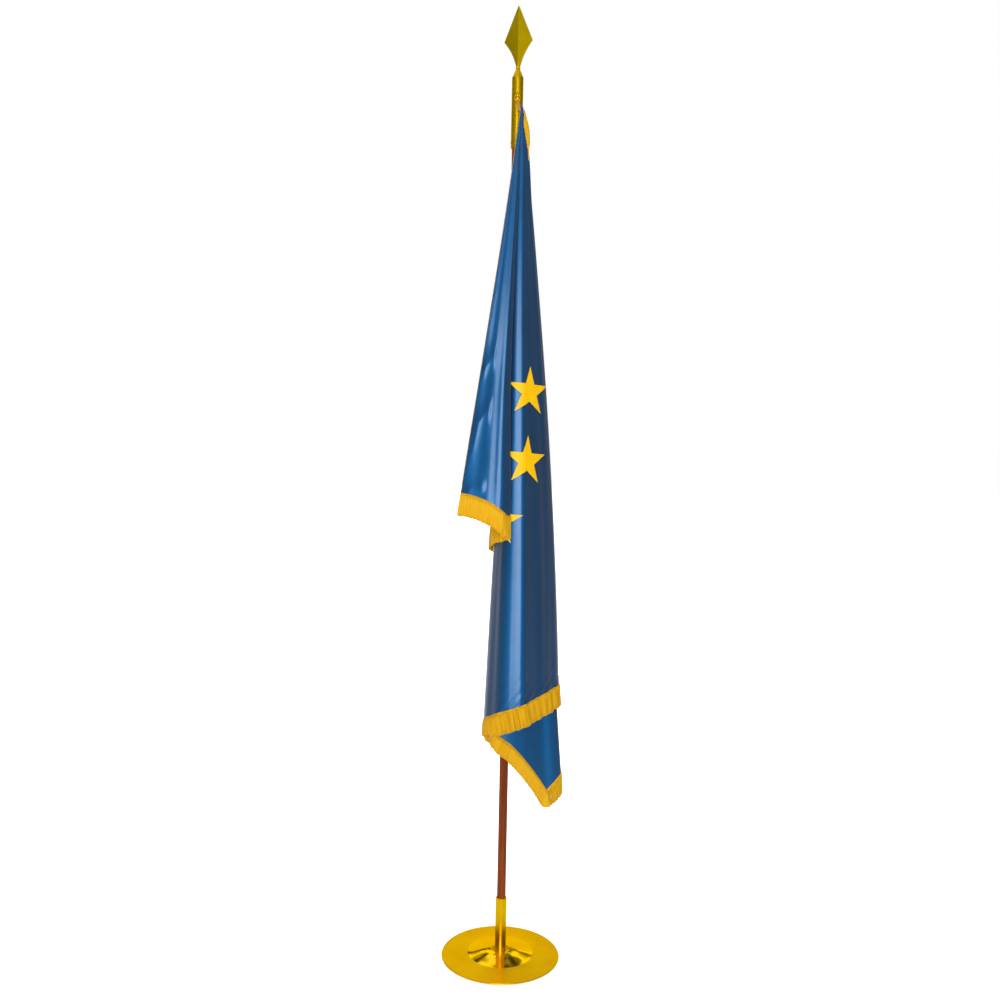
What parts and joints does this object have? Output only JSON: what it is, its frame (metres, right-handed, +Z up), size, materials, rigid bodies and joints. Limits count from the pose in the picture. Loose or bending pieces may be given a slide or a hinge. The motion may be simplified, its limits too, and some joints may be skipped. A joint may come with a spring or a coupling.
{
  "type": "flag pole stand",
  "caption": "Indoor ceremonial flag stand: weighted brass dish foot, wooden pole in a tube socket, spear finial and a draped fringed flag.",
  "frame": {"origin": "centre of the foot's underside, on the floor", "axes": "+Z up along the pole; the flag hangs on the -Y side, which is the front, and +X is to the right as seen from the front"},
  "size_m": [0.3, 0.3, 2.37],
  "materials": {
    "polished_brass": "polished",
    "ferrule_brass": "satin",
    "cast_iron": "matte",
    "zinc_steel": "satin",
    "black_rubber": "matte",
    "red_felt": "matte",
    "brown_fibre": "matte",
    "mahogany": "satin",
    "blue_satin": "satin",
    "gold_fringe": "satin",
    "yellow_star": "satin",
    "webbing": "matte"
  },
  "bodies": {
    "base": {"base_cover": "polished_brass", "ballast_weight": "cast_iron", "floor_pad": "black_rubber", "socket_tube": "polished_brass", "socket_plug": "zinc_steel", "anchor_bolt": "zinc_steel", "anchor_washer": "zinc_steel"},
    "seat_pad": {"seat_pad": "red_felt"},
    "pole_lower": {"pole_lower": "mahogany", "joint_socket": "ferrule_brass", "lower_joint_pins": "ferrule_brass", "joint_washer": "brown_fibre"},
    "pole_upper": {"joint_sleeve": "ferrule_brass", "upper_joint_pins": "ferrule_brass", "joint_spigot": "zinc_steel", "pole_upper": "mahogany", "top_ferrule": "ferrule_brass", "ferrule_pins": "ferrule_brass", "flag_hook": "ferrule_brass", "flag_ring": "ferrule_brass", "corner_tab": "webbing", "flag_cloth": "blue_satin", "fringe_bottom": "gold_fringe", "fringe_fly": "gold_fringe", "fringe_corner": "gold_fringe", "stars": "yellow_star"},
    "finial_collar": {"finial_collar": "ferrule_brass"},
    "finial": {"spear_finial": "ferrule_brass", "finial_stud": "zinc_steel"}
  },
  "joints": [
    {"name": "pole_turn", "type": "hinge", "parent": "base", "child": "seat_pad", "pos_m": [0, 0, 0.025], "axis": [0, 0, 1], "continuous": true},
    {"name": "pole_lift", "type": "slide", "parent": "seat_pad", "child": "pole_lower", "axis": [0, 0, 1], "range_m": [0, 0.16]},
    {"name": "section_pull", "type": "slide", "parent": "pole_lower", "child": "pole_upper", "axis": [0, 0, 1], "range_m": [0, 0.033]},
    {"name": "finial_turn", "type": "hinge", "parent": "pole_upper", "child": "finial_collar", "pos_m": [0, 0, 2.2], "axis": [0, 0, 1], "range_deg": [0, 4320]},
    {"name": "finial_rise", "type": "slide", "parent": "finial_collar", "child": "finial", "axis": [0, 0, 1], "range_m": [0, 0.0151]}
  ],
  "couplings": [
    {"joint": "finial_rise", "follows": "finial_turn", "m_per_rad": 0.00019894}
  ]
}
